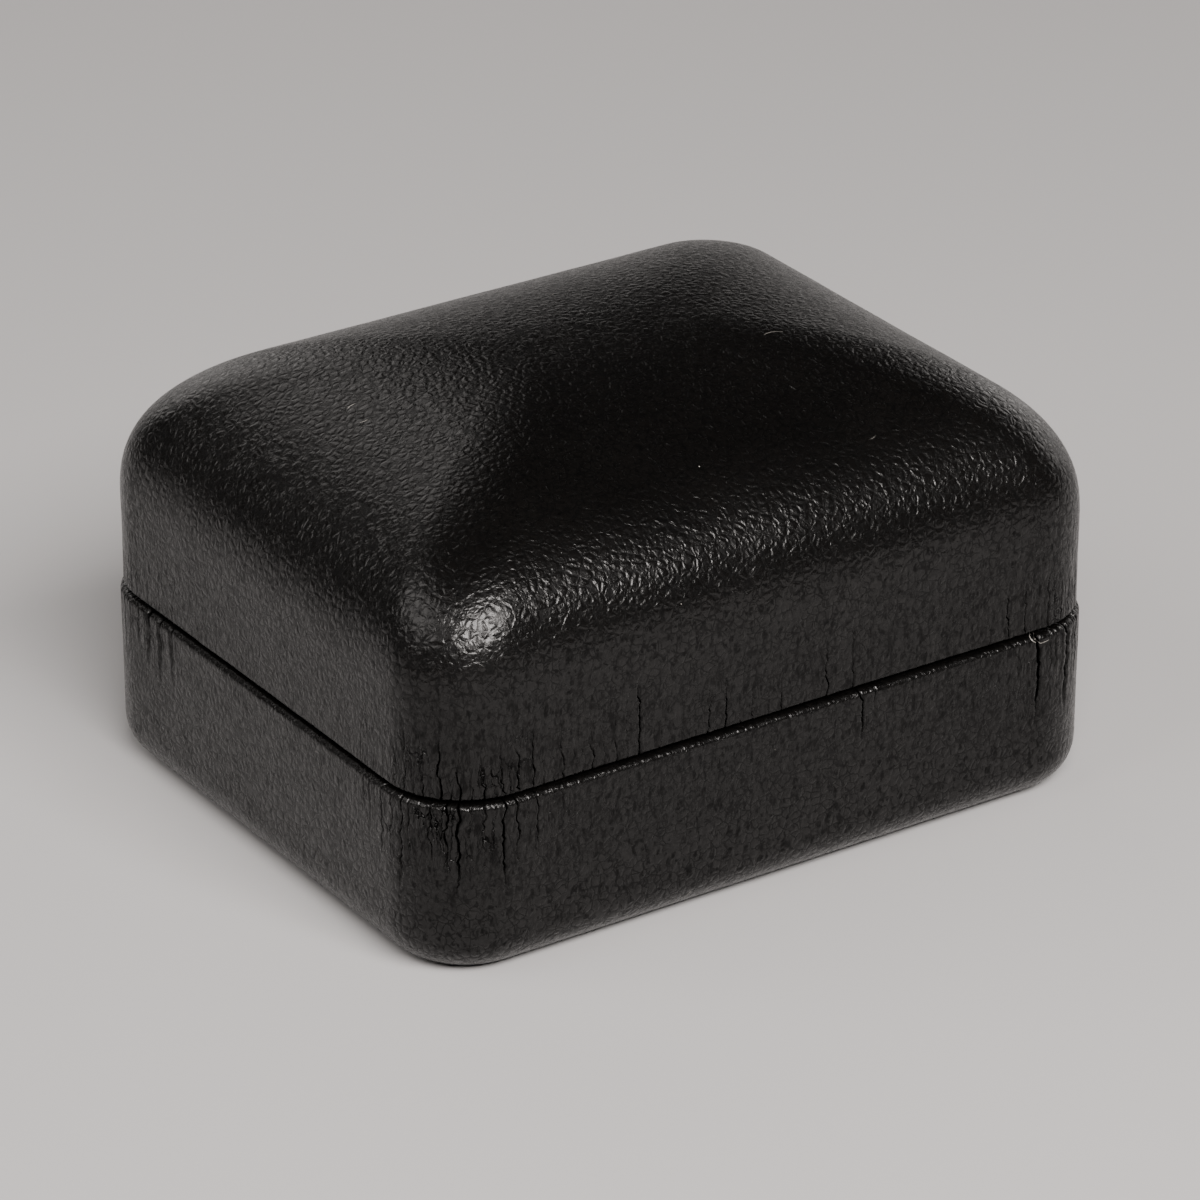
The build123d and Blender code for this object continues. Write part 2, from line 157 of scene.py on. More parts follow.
class Plan:
    """A rounded rectangle seen from above. Places on it are distances along its rim, counter-clockwise,
    from the middle of the corner that faces front left."""

    def __init__(self, width, depth, corner, centre=(0.0, 0.0)):
        self.width, self.depth, self.corner, self.centre = width, depth, corner, centre
        self.arc = corner * math.pi / 2
        self.sides = (width - 2 * corner, depth - 2 * corner) * 2
        self.length = sum(self.sides) + 4 * self.arc
        self.corner_middles = [sum(self.sides[:number]) + number * self.arc for number in range(4)]

    def outline(self, places, inset, corner):
        """Points and outward directions at some places, with the outline drawn in by an inset."""
        reach = (self.width / 2 - inset, self.depth / 2 - inset)
        corner = max(min(corner, min(reach) - 0.01), 0.05)
        hub = [(-1, -1), (1, -1), (1, 1), (-1, 1)]
        hubs = [np.array([x * (reach[0] - corner), y * (reach[1] - corner)]) for x, y in hub]
        points = np.zeros((len(places), 2))
        outward = np.zeros((len(places), 2))
        wrapped = (places + self.arc / 2) % self.length
        begin = 0.0
        for number, side in enumerate(self.sides):
            angle = math.pi * (1 + number / 2)
            on_arc = (wrapped >= begin) & (wrapped < begin + self.arc)
            turn = angle + (wrapped[on_arc] - begin) / self.corner
            way = np.stack([np.cos(turn), np.sin(turn)], 1)
            points[on_arc] = hubs[number] + corner * way
            outward[on_arc] = way
            begin += self.arc
            way = np.array([math.cos(angle + math.pi / 2), math.sin(angle + math.pi / 2)])
            on_side = (wrapped >= begin) & (wrapped < begin + side)
            share = ((wrapped[on_side] - begin) / side)[:, None]
            points[on_side] = hubs[number] + corner * way + share * (hubs[(number + 1) % 4] - hubs[number])
            outward[on_side] = way
            begin += side
        return points + np.array(self.centre), outward

    def gap(self, places, middle):
        """Signed distance along the rim from a place to each of the others, the short way round."""
        return (places - middle + self.length / 2) % self.length - self.length / 2


box_plan = Plan(box_width, box_depth, corner_radius)


least_crease_depth = 0.19
crease_narrowing = 0.7
crease_straightening = 0.4
crease_spacing = 0.55


def corner_creases(plan, chosen, seed, crowd, reach_range):
    """The creases of one skin: those chosen one by one, and small ones crowded round each corner.

    A crease is its place along the rim, its reach from the rim, its depth, half its width, its lean over
    its reach, and a number that sets how its depth varies.
    """
    draw = random.Random(seed)
    creases = [(place, reach, max(depth, least_crease_depth), crease_narrowing * half_width,
                crease_straightening * lean, draw.uniform(0, 99))
               for place, reach, depth, half_width, lean in chosen]
    for middle in plan.corner_middles:
        place = middle - plan.arc * 0.9
        while place < middle + plan.arc * 0.9:
            place += draw.uniform(0.7, 1.8)
            if all(abs(place - crease[0]) > crease_spacing for crease in chosen):
                nearness = math.exp(-(((place - middle) / plan.arc) ** 2) * 1.6)
                reach = draw.uniform(*reach_range) * (0.35 + 0.65 * nearness)
                depth = crowd * draw.uniform(0.4, 1.0) * (0.3 + 0.7 * nearness)
                creases.append((place, reach, depth, draw.uniform(0.09, 0.13), draw.uniform(-0.25, 0.25),
                                draw.uniform(0, 99)))
    return creases


def rim_places(plan, creases, spacing):
    """Where a skin has a line of points: evenly along its rim, and close together beside each crease.

    They start and end in the middle of the back, where there are no creases.
    """
    start = (plan.corner_middles[2] + plan.corner_middles[3]) / 2 - plan.length
    places = [(place, 1) for place in np.arange(start, start + plan.length - spacing / 2, spacing)]
    for place, _, _, half_width, _, _ in creases:
        places += [((place + step * half_width - start) % plan.length + start, 0)
                   for step in (-2.2, -1.15, -0.55, 0, 0.55, 1.15, 2.2)]
    places.sort()
    kept = [places[0]]
    for place, even in places[1:]:
        if place - kept[-1][0] >= 0.05:
            kept.append((place, even))
        elif not even and kept[-1][1]:
            kept[-1] = (place, even)
    return np.array([place for place, _ in kept])


follow_beside = 2.2
follow_above = 4
slow_wander = 0.5
quick_wander = 0.42
wander_gain = 1.4
lip_height = 0.22
least_line_gap = 0.012


def crease_paths(plan, places, creases, up):
    """At a distance from the rim: places pushed along so that they follow the creases, and the sinking."""
    pushed = np.zeros(len(places))
    held = np.ones(len(places))
    sinking = np.zeros(len(places))
    for place, reach, depth, half_width, lean, seed in creases:
        gap = plan.gap(places, place)
        near = np.abs(gap) < max(follow_beside, 3 * half_width)
        if not near.any() or up > reach + follow_above:
            continue
        wander = lean * up / reach + slow_wander * noise.noise(Vector((up * 0.5, place * 0.3, 0)))
        wander += quick_wander * noise.noise(Vector((up * 2.1, place * 0.5, 5)))
        hold = np.clip(1 - np.abs(gap[near]) / follow_beside, 0, 1)
        settle = max(0.0, min(1.0, (reach + follow_above - up) / follow_above))
        pushed[near] += wander * hold * hold * settle
        held[near] += hold * hold
        along = max(0.0, 1 - (up / reach) ** 2) if up > 0 else max(0.0, 1 + up / 1.2)
        along *= 0.8 + 0.5 * noise.noise(Vector((up * 1.3, seed, 9)))
        share = np.abs(gap[near]) / half_width
        groove = np.clip(1.15 - share, 0, 1)
        lip = lip_height * np.exp(-(((share - 1.7) / 0.7) ** 2))
        sinking[near] += depth * along * (groove - lip)
    least_gap = least_line_gap * np.arange(len(places))
    moved = places + wander_gain * pushed / held
    return np.maximum.accumulate(moved - least_gap) + least_gap, sinking


def skin_rings(bm, plan, rings, places, creases, swell, swell_size):
    """Builds a skin ring by ring: a circle set on the first outline, then extruded along the rest.

    A ring is its inset, height, corner radius, the section's outward direction, its way up, its distance
    from the rim and how much of the creases it takes. Returns the rings' points and the sinking at each.
    """
    made = bmesh.ops.create_circle(bm, segments=len(places), radius=1)
    ring_verts = sorted(made["verts"], key=lambda vert: math.atan2(vert.co.y, vert.co.x) % (2 * math.pi))
    all_rings, all_sinking = [], []
    for number, (inset, height, corner, way_out, way_up, up, take) in enumerate(rings):
        if number:
            lines = [bm.edges.get((a, b)) for a, b in zip(ring_verts, ring_verts[1:] + ring_verts[:1])]
            fresh = set(v for v in bmesh.ops.extrude_edge_only(bm, edges=lines)["geom"]
                        if isinstance(v, bmesh.types.BMVert))
            ring_verts = [next(e.other_vert(v) for e in v.link_edges if e.other_vert(v) in fresh)
                          for v in ring_verts]
        moved, sinking = crease_paths(plan, places, creases, up)
        points, outward = plan.outline(moved if take else places, inset, corner)
        for vert, point, way, sink in zip(ring_verts, points, outward, sinking * take):
            spot = Vector((point[0], point[1], height))
            push = float(swell * take * noise.noise(spot / swell_size) - sink)
            vert.co = (spot + push * Vector((way[0] * way_out, way[1] * way_out, way_up))) * MM
        all_rings.append(ring_verts)
        all_sinking.append(sinking * take)
    return all_rings, all_sinking


full_crease = 0.22
corner_pull = 11
side_pull = 0.25


def skin_piece(name, plan, rings, places, creases, swell, swell_size, closing):
    """The finished skin as an object, with its creases and its stretch kept as attributes."""
    bm = bmesh.new()
    crease_layer = bm.verts.layers.float.new("crease")
    stretch_layer = bm.verts.layers.float.new("stretch")
    rings_made, sinking = skin_rings(bm, plan, rings, places, creases, swell, swell_size)
    by_corner = np.zeros(len(places))
    for middle in plan.corner_middles:
        by_corner = np.maximum(by_corner, np.exp(-((plan.gap(places, middle) / corner_pull) ** 2)))
    for ring, sunk, (_, _, _, way_out, _, up, take) in zip(rings_made, sinking, rings):
        pulled = max(0.0, min(1.0, 1.4 - up / 8)) * abs(way_out) if take else 0.0
        for vert, sink, near in zip(ring, sunk, by_corner):
            vert[crease_layer] = max(0.0, min(1.0, sink / full_crease))
            vert[stretch_layer] = pulled * (side_pull + (1 - side_pull) * near)
    ends = [[bm.edges.get((a, b)) for a, b in zip(ring, ring[1:] + ring[:1])]
            for ring in (rings_made[0], rings_made[-1])]
    closing(bm, *ends)
    bmesh.ops.recalc_face_normals(bm, faces=bm.faces)
    mesh = bpy.data.meshes.new(name)
    bm.to_mesh(mesh)
    bm.free()
    for face in mesh.polygons:
        face.use_smooth = True
    piece = bpy.data.objects.new(name, mesh)
    bpy.context.scene.collection.objects.link(piece)
    return piece


def close_flat(bm, first, last):
    """Fills the small openings left in the middle of a skin's two faces."""
    for lines in (first, last):
        bmesh.ops.triangle_fill(bm, edges=lines, use_beauty=True)


def quarter_turn(steps):
    """Angles through a quarter turn, for the rings round a rounded edge."""
    return [math.pi / 2 * step / steps for step in range(steps + 1)]


hinge = frame["joints"][0]["pos_m"]
hinge_y = hinge[1] / MM
hinge_z = hinge[2] / MM
knuckle_half = 14.5
barrel_room = 1.25
cam_half = 4.1
cam_room = 1.65


def cut_hinge_room(piece, inner_face, window_top, window_bottom):
    """Cuts the notch for the barrel through the rim, and the window for the leaf in the turned-in edge."""
    rooms = [((-knuckle_half, hinge_y - turn_in_inner - 1.5, hinge_z - barrel_room),
              (knuckle_half, hinge_y + 2, hinge_z + barrel_room)),
             ((-cam_half, hinge_y - turn_in_inner - 1.6, hinge_z - cam_room),
              (cam_half, hinge_y + 2.1, hinge_z + cam_room)),
             ((-knuckle_half, hinge_y - turn_in_inner - 1.2, window_bottom),
              (knuckle_half, inner_face, window_top))]
    for low, high in rooms:
        cutter = bmesh.new()
        bmesh.ops.create_cube(cutter, size=1)
        for vert in cutter.verts:
            vert.co = Vector([(low[i] + high[i]) / 2 + vert.co[i] * (high[i] - low[i])
                              for i in range(3)]) * MM
        cutter_mesh = bpy.data.meshes.new("cutter")
        cutter.to_mesh(cutter_mesh)
        cutter.free()
        cutter_object = bpy.data.objects.new("cutter", cutter_mesh)
        bpy.context.scene.collection.objects.link(cutter_object)
        cut = piece.modifiers.new("hinge_room", "BOOLEAN")
        cut.operation = "DIFFERENCE"
        cut.solver = "EXACT"
        cut.object = cutter_object
        evaluated = piece.evaluated_get(bpy.context.evaluated_depsgraph_get())
        result = bpy.data.meshes.new_from_object(evaluated)
        old = piece.data
        piece.modifiers.clear()
        piece.data = result
        result.name = old.name
        bpy.data.meshes.remove(old)
        bpy.data.objects.remove(cutter_object)
        bpy.data.meshes.remove(cutter_mesh)


def base_rings():
    """The base skin's rings: inside face from the middle of the floor, over the rim, down and under."""
    rings = []
    floor_insets = (26.0, 14.0, 7.0)
    skin_edge = base_edge_radius - leather
    for inset in floor_insets:
        rings.append((inset, leather, max(corner_radius - inset * 0.5, 1.0), 0, 1, 0, 0))
    for turn in quarter_turn(4):
        inset = leather + skin_edge * (1 - math.sin(turn))
        height = leather + skin_edge * (1 - math.cos(turn))
        rings.append((inset, height, corner_radius - inset, 0, 1, 0, 0))
    turn_in_low = base_height - turn_in_drop
    rings.append((leather, base_height - leather, corner_radius - leather, 0, 1, 0, 0))
    rings.append((shell_inner, base_height - leather, corner_radius - shell_inner, 0, 1, 0, 0))
    rings.append((shell_inner, turn_in_low, corner_radius - shell_inner, 0, 1, 0, 0))
    rings.append((turn_in_inner, turn_in_low, corner_radius - turn_in_inner, 0, 1, 0, 0))
    inner_round = 0.35
    for share in (0.5, 0.8, 1.0):
        height = turn_in_low + (turn_in_drop - inner_round) * share
        up = height - base_height
        rings.append((turn_in_inner, height, corner_radius - turn_in_inner, -1, 0, up, 0))
    for turn in quarter_turn(4)[1:]:
        inset = turn_in_inner - inner_round * (1 - math.cos(turn))
        height = base_height - inner_round * (1 - math.sin(turn))
        rings.append((inset, height, corner_radius - inset, -math.cos(turn), math.sin(turn), -1.2, 0.3))
    flat_inner = turn_in_inner - inner_round
    for share in (0.35, 0.7):
        inset = flat_inner + (base_rim_rounding - flat_inner) * share
        rings.append((inset, base_height, corner_radius - inset, 0, 1, -1 + share, 0.6))
    for turn in quarter_turn(8):
        inset = base_rim_rounding * (1 - math.sin(turn))
        height = base_height - base_rim_rounding * (1 - math.cos(turn))
        rings.append((inset, height, corner_radius - inset, math.sin(turn), math.cos(turn),
                      -0.1 + turn / 8, 1))
    wall = base_height - base_rim_rounding - base_edge_radius
    steps = 34
    for step in range(1, steps + 1):
        height = base_height - base_rim_rounding - wall * step / steps
        rings.append((0, height, corner_radius, 1, 0, base_height - height, 1))
    for turn in quarter_turn(10)[1:]:
        inset = base_edge_radius * (1 - math.cos(turn))
        height = base_edge_radius * (1 - math.sin(turn))
        take = 1 - turn / (math.pi / 2)
        way = (math.cos(turn), -math.sin(turn))
        rings.append((inset, height, corner_radius - inset, *way, wall + base_edge_radius * turn, take))
    for inset in (6.5, 10.0, 16.0, 26.0):
        rings.append((inset, 0, max(corner_radius - inset * 0.5, 1.0), 0, -1, base_height + inset, 0))
    return rings


# Each crease: place along the rim, reach, depth, half its width, lean over its reach.
base_chosen_creases = [
    (-7.2, 7.5, 0.12, 0.15, 0.3), (-5.6, 5.0, 0.10, 0.12, -0.3), (-4.4, 10.0, 0.34, 0.18, -0.5),
    (-3.6, 9.0, 0.20, 0.13, 0.6), (-2.4, 6.0, 0.12, 0.12, 0.4), (-1.3, 8.5, 0.20, 0.13, 0.2),
    (0.2, 8.0, 0.30, 0.16, 0.7), (1.3, 10.5, 0.38, 0.19, -0.2), (2.4, 6.0, 0.16, 0.12, -0.4),
    (3.6, 8.5, 0.20, 0.13, -0.5), (4.5, 6.5, 0.16, 0.12, 0.5), (5.5, 10.0, 0.42, 0.19, 0.2),
    (6.8, 8.0, 0.28, 0.15, 0.7), (7.9, 4.5, 0.12, 0.12, 0.2), (9.0, 7.5, 0.24, 0.14, 0.1),
    (10.3, 4.0, 0.12, 0.12, -0.2), (11.6, 2.8, 0.16, 0.12, -0.1), (12.3, 2.4, 0.16, 0.12, 0.1),
    (44.6, 5.2, 0.42, 0.18, 0.7), (46.2, 2.4, 0.10, 0.2, 0.0), (62.8, 4.2, 0.12, 0.14, 0.2),
    (65.0, 10.0, 0.50, 0.30, 0.5), (66.6, 5.0, 0.14, 0.14, 0.2), (69.0, 9.0, 0.60, 0.36, 0.1),
    (71.2, 6.0, 0.18, 0.2, -0.2), (74.0, 6.5, 0.16, 0.16, 0.2), (-44.6, 6.5, 0.14, 0.5, 0.2),
    (-46.8, 7.5, 0.20, 0.42, 0.1), (-49.0, 6.5, 0.14, 0.5, -0.2),
]
base_creases = corner_creases(box_plan, base_chosen_creases, 11, 0.14, (4.0, 9.0))
base_places = rim_places(box_plan, base_creases, 0.62)
base_skin = skin_piece("base_leather_skin", box_plan, base_rings(), base_places, base_creases, 0.05, 5.0,
                       close_flat)
cut_hinge_room(base_skin, hinge_y - shell_inner + 0.01, base_height + 1, base_height - turn_in_drop - 1)


def node_group(name, inputs, outputs):
    """An empty shader node group with its sockets, and its two end nodes."""
    group = bpy.data.node_groups.new(name, "ShaderNodeTree")
    for socket, kind, value in inputs:
        made = group.interface.new_socket(socket, in_out="INPUT", socket_type=kind)
        if value is not None:
            made.default_value = value
    for socket, kind in outputs:
        group.interface.new_socket(socket, in_out="OUTPUT", socket_type=kind)
    return group, group.nodes.new("NodeGroupInput"), group.nodes.new("NodeGroupOutput")


def add_math(tree, operation, first, second=None, third=None):
    """A math node; each of its terms is a socket or a number."""
    node = tree.nodes.new("ShaderNodeMath")
    node.operation = operation
    for place, term in enumerate((first, second, third)):
        if isinstance(term, (int, float)):
            node.inputs[place].default_value = term
        elif term is not None:
            tree.links.new(term, node.inputs[place])
    return node.outputs[0]


def add_ramp(tree, value, low, high, to_low=0.0, to_high=1.0):
    """A smooth change between two values of a socket."""
    node = tree.nodes.new("ShaderNodeMapRange")
    node.interpolation_type = "SMOOTHSTEP"
    tree.links.new(value, node.inputs["Value"])
    for socket, number in zip(("From Min", "From Max", "To Min", "To Max"), (low, high, to_low, to_high)):
        node.inputs[socket].default_value = number
    return node.outputs["Result"]


def add_noise(tree, vector, scale, detail=2.0, roughness=0.5):
    """A noise texture on a vector socket."""
    node = tree.nodes.new("ShaderNodeTexNoise")
    tree.links.new(vector, node.inputs["Vector"])
    node.inputs["Scale"].default_value = scale
    node.inputs["Detail"].default_value = detail
    node.inputs["Roughness"].default_value = roughness
    return node


def add_cells(tree, vector, scale, feature):
    """A Voronoi texture on a vector socket."""
    node = tree.nodes.new("ShaderNodeTexVoronoi")
    node.feature = feature
    tree.links.new(vector, node.inputs["Vector"])
    node.inputs["Scale"].default_value = scale
    return node


def add_stretched(tree, vector, scale):
    """A vector socket, each axis scaled by its own number."""
    node = tree.nodes.new("ShaderNodeMapping")
    tree.links.new(vector, node.inputs["Vector"])
    node.inputs["Scale"].default_value = scale
    return node.outputs["Vector"]


def make_grain_group():
    """Pebbled grain: rounded cells between fine creases, with smaller cells and pores in them.

    The vector comes in as millimetres, already stretched where the skin was pulled. The second output is a
    mask of painted shade for the furrows, the pits and some whole cells.
    """
    group, enter, leave = node_group(
        "leather_grain", [("Vector", "NodeSocketVector", None)],
        [("Height", "NodeSocketFloat"), ("Furrow", "NodeSocketFloat")])
    warp = add_noise(group, enter.outputs["Vector"], 0.9, 2.0)
    shift = group.nodes.new("ShaderNodeVectorMath")
    shift.operation = "MULTIPLY_ADD"
    group.links.new(warp.outputs["Color"], shift.inputs[0])
    shift.inputs[1].default_value = (0.75, 0.75, 0.75)
    group.links.new(enter.outputs["Vector"], shift.inputs[2])
    warped = shift.outputs["Vector"]
    large = add_cells(group, warped, 1.15, "DISTANCE_TO_EDGE").outputs["Distance"]
    small = add_cells(group, warped, 3.2, "DISTANCE_TO_EDGE").outputs["Distance"]
    pores = add_noise(group, warped, 5.0, 3.0, 0.6).outputs["Fac"]
    large_dome = add_ramp(group, large, 0.0, 0.36)
    small_dome = add_ramp(group, small, 0.0, 0.34)
    together = add_math(group, "MULTIPLY_ADD", small_dome, 0.2, large_dome)
    height = add_math(group, "MULTIPLY_ADD", pores, 0.32, together)
    group.links.new(height, leave.inputs["Height"])
    broken = add_ramp(group, add_noise(group, warped, 0.7, 2.0).outputs["Fac"], 0.32, 0.54)
    # Painted shade: this mask darkens the furrows between cells, some whole cells and mottled pits.
    furrow_shade = add_math(group, "MULTIPLY", add_ramp(group, large, 0.0, 0.12, 0.8, 0.0), broken)
    shade = group.nodes.new("ShaderNodeSeparateColor")
    group.links.new(add_cells(group, warped, 3.2, "F1").outputs["Color"], shade.inputs["Color"])
    furrow_shade = add_math(group, "MAXIMUM", furrow_shade, add_math(group, "MULTIPLY", shade.outputs["Red"], 0.36))
    pits = add_noise(group, add_stretched(group, warped, (1.9, 1.9, 1.2)), 1.0, 3.0, 0.6).outputs["Fac"]
    pitted = add_ramp(group, pits, 0.46, 0.68, 0.0, 0.9)
    group.links.new(add_math(group, "MAXIMUM", furrow_shade, pitted), leave.inputs["Furrow"])
    return group


def make_crackle_group():
    """Fine upright cracks where a skin is pulled tight: long cells whose edges are thin, broken lines."""
    group, enter, leave = node_group(
        "leather_crackle", [("Vector", "NodeSocketVector", None), ("Amount", "NodeSocketFloat", 0.0)],
        [("Line", "NodeSocketFloat")])
    warp = add_noise(group, enter.outputs["Vector"], 1.6, 2.0)
    shift = group.nodes.new("ShaderNodeVectorMath")
    shift.operation = "MULTIPLY_ADD"
    group.links.new(warp.outputs["Color"], shift.inputs[0])
    shift.inputs[1].default_value = (0.5, 0.5, 0.9)
    group.links.new(enter.outputs["Vector"], shift.inputs[2])
    long_vector = add_stretched(group, shift.outputs["Vector"], (1.15, 1.15, 0.3))
    edge = add_cells(group, long_vector, 0.95, "DISTANCE_TO_EDGE").outputs["Distance"]
    line = add_ramp(group, edge, 0.015, 0.06, 1.0, 0.0)
    patches = add_noise(group, enter.outputs["Vector"], 0.33, 1.0).outputs["Fac"]
    open_here = add_ramp(group, patches, 0.42, 0.62)
    held = add_math(group, "MULTIPLY", line, enter.outputs["Amount"])
    group.links.new(add_math(group, "MULTIPLY", held, open_here), leave.inputs["Line"])
    return group


def make_dust_group():
    """Sparse specks of pale dust, and here and there a short curl of lint."""
    group, enter, leave = node_group(
        "dust_specks", [("Vector", "NodeSocketVector", None), ("Share", "NodeSocketFloat", 0.02)],
        [("Speck", "NodeSocketFloat")])
    cells = add_cells(group, enter.outputs["Vector"], 0.8, "F1")
    spot = add_ramp(group, cells.outputs["Distance"], 0.03, 0.07, 1.0, 0.0)
    pick = group.nodes.new("ShaderNodeSeparateColor")
    group.links.new(cells.outputs["Color"], pick.inputs["Color"])
    chosen = add_math(group, "LESS_THAN", pick.outputs["Red"], enter.outputs["Share"])
    specks = add_math(group, "MULTIPLY", spot, chosen)
    wide = add_cells(group, enter.outputs["Vector"], 0.09, "F1")
    ring = add_math(group, "ABSOLUTE", add_math(group, "SUBTRACT", wide.outputs["Distance"], 0.20))
    thread = add_ramp(group, ring, 0.001, 0.004, 0.6, 0.0)
    short = add_ramp(group, add_noise(group, enter.outputs["Vector"], 0.30, 0.0).outputs["Fac"], 0.66, 0.69)
    pick_wide = group.nodes.new("ShaderNodeSeparateColor")
    group.links.new(wide.outputs["Color"], pick_wide.inputs["Color"])
    few = add_math(group, "LESS_THAN", pick_wide.outputs["Green"], 0.3)
    lint = add_math(group, "MULTIPLY", add_math(group, "MULTIPLY", thread, short), few)
    group.links.new(add_math(group, "MAXIMUM", specks, lint), leave.inputs["Speck"])
    return group


grain_group = make_grain_group()
crackle_group = make_crackle_group()
dust_group = make_dust_group()


def use_group(tree, group):
    """One of the shared groups, placed in a material."""
    node = tree.nodes.new("ShaderNodeGroup")
    node.node_tree = group
    return node


def in_millimetres(tree):
    """Object coordinates as millimetres."""
    place = tree.nodes.new("ShaderNodeTexCoord")
    return add_stretched(tree, place.outputs["Object"], (1 / MM, 1 / MM, 1 / MM))


def read_attribute(tree, name):
    """One of the skin's own numbers."""
    node = tree.nodes.new("ShaderNodeAttribute")
    node.attribute_name = name
    return node.outputs["Fac"]


def mix_colour(tree, share, first, second):
    """A colour between two, by a socket; each is a socket or a colour."""
    node = tree.nodes.new("ShaderNodeMix")
    node.data_type = "RGBA"
    tree.links.new(share, node.inputs["Factor"])
    for socket, colour in (("A", first), ("B", second)):
        entry = next(s for s in node.inputs if s.name == socket and s.type == "RGBA")
        if isinstance(colour, tuple):
            entry.default_value = (*colour, 1)
        else:
            tree.links.new(colour, entry)
    return next(s for s in node.outputs if s.type == "RGBA")


def mix_value(tree, share, first, second):
    """A number between two, by a socket; each is a socket or a number."""
    node = tree.nodes.new("ShaderNodeMix")
    node.data_type = "FLOAT"
    tree.links.new(share, node.inputs["Factor"])
    for place, term in ((2, first), (3, second)):
        if isinstance(term, (int, float)):
            node.inputs[place].default_value = term
        else:
            tree.links.new(term, node.inputs[place])
    return node.outputs[0]


def add_bump(tree, height, depth):
    """A bump node whose depth is in millimetres."""
    node = tree.nodes.new("ShaderNodeBump")
    tree.links.new(height, node.inputs["Height"])
    node.inputs["Strength"].default_value = 1.0
    node.inputs["Distance"].default_value = depth * MM
    return node


def new_material(name):
    """A material with its node tree and its shader."""
    material = bpy.data.materials.new(name)
    material.use_nodes = True
    return material, material.node_tree, material.node_tree.nodes["Principled BSDF"]


def make_black_leather():
    """Black dyed leather with a satin finish, pulled upright by the corners, with dust in its grain.

    Furrows, pits, cracks, crease grooves and streaks on the pulled walls are painted shade: black and fully
    metallic, since a narrow hollow throws back no gloss.
    """
    material, tree, shader = new_material("black_leather")
    spot = in_millimetres(tree)
    stretch = read_attribute(tree, "stretch")
    crease = read_attribute(tree, "crease")
    loose = use_group(tree, grain_group)
    tree.links.new(spot, loose.inputs["Vector"])
    pulled = use_group(tree, grain_group)
    tree.links.new(add_stretched(tree, spot, (1.25, 1.25, 0.5)), pulled.inputs["Vector"])
    crackle = use_group(tree, crackle_group)
    tree.links.new(spot, crackle.inputs["Vector"])
    tree.links.new(stretch, crackle.inputs["Amount"])
    dust = use_group(tree, dust_group)
    tree.links.new(spot, dust.inputs["Vector"])
    dust.inputs["Share"].default_value = 0.012
    grain = mix_value(tree, stretch, loose.outputs["Height"], pulled.outputs["Height"])
    furrow_shade = mix_value(tree, stretch, loose.outputs["Furrow"], pulled.outputs["Furrow"])
    line = crackle.outputs["Line"]
    cloudy = add_noise(tree, spot, 0.12, 3.0).outputs["Fac"]
    height = add_math(tree, "MULTIPLY", grain, add_math(tree, "MULTIPLY_ADD", stretch, 0.9, 1.0))
    height = add_math(tree, "MULTIPLY_ADD", line, -2.0, height)
    height = add_math(tree, "MULTIPLY_ADD", cloudy, 0.5, height)
    tint = mix_colour(tree, cloudy, (0.0024, 0.0022, 0.0021), (0.0042, 0.0037, 0.0034))
    # Painted shade: the grain's furrows and pits, the thin cracks and the crease grooves are made near black
    # and fully metallic below.
    dark = add_math(tree, "MAXIMUM", add_math(tree, "MULTIPLY", furrow_shade, 0.75), line)
    dark = add_math(tree, "MAXIMUM", dark, add_ramp(tree, crease, 0.22, 0.75))
    # Painted shade: dark upright streaks on the pulled walls stand in for the light and shade of their coarse
    # relief.
    streaks = add_noise(tree, add_stretched(tree, spot, (1.7, 1.7, 0.75)), 1.0, 3.0, 0.6).outputs["Fac"]
    pull = add_ramp(tree, stretch, 0.0, 0.3, 0.2, 0.65)
    streaks = add_math(tree, "MULTIPLY", add_ramp(tree, streaks, 0.48, 0.66), pull)
    dark = add_math(tree, "MAXIMUM", dark, streaks)
    # Painted shade: near black wherever the mask above is set; the same mask makes the leather metallic
    # below.
    tint = mix_colour(tree, dark, tint, (0.0008, 0.0007, 0.0007))
    tint = mix_colour(tree, dust.outputs["Speck"], tint, (0.42, 0.40, 0.37))
    tree.links.new(tint, shader.inputs["Base Color"])
    gloss = mix_value(tree, cloudy, 0.17, 0.23)
    tree.links.new(mix_value(tree, dark, gloss, 0.5), shader.inputs["Roughness"])
    tree.links.new(dark, shader.inputs["Metallic"])
    shader.inputs["IOR"].default_value = 1.42
    bump = add_bump(tree, height, 0.036)
    tree.links.new(bump.outputs["Normal"], shader.inputs["Normal"])
    return material


black_leather = make_black_leather()
base_skin.data.materials.clear()
base_skin.data.materials.append(black_leather)
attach(base_skin, "base")
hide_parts("base_leather")


# ---- Lid leather -------------------------------------------------------------------------------------
# The same leather in one skin over the domed shell, turned over its rim and glued inside. It is pulled
# smooth over the pillowed top and gathered into fine creases towards the rim.
lid_low, lid_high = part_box("lid_leather")
lid_bottom = lid_low.z / MM
lid_step = (box_width - (lid_high.x - lid_low.x) / MM) / 2
lid_wall = 9.1
lid_shoulder = lid_bottom + lid_wall
dome_rise = 17.4
dome_shoulder = 2.56
corner_loss = 0.22
dome_reach = box_depth / 2 - lid_step
lid_rim_rounding = 0.30
dome_steps = 42


def dome_height(station):
    """Height of the dome above the lid's wall, from the wall at 0 to the middle at 1."""
    return dome_rise * (1 - (1 - station) ** 2) ** (1 / dome_shoulder)


def dome_ring(station, drawn_in):
    """Inset, height and corner radius of the dome at a station, drawn in by a thickness."""
    inset = lid_step + drawn_in + station * (dome_reach - drawn_in)
    corner = max(corner_radius - lid_step - drawn_in - corner_loss * station * dome_reach, 1.0)
    return inset, lid_shoulder - drawn_in + dome_height(station), corner


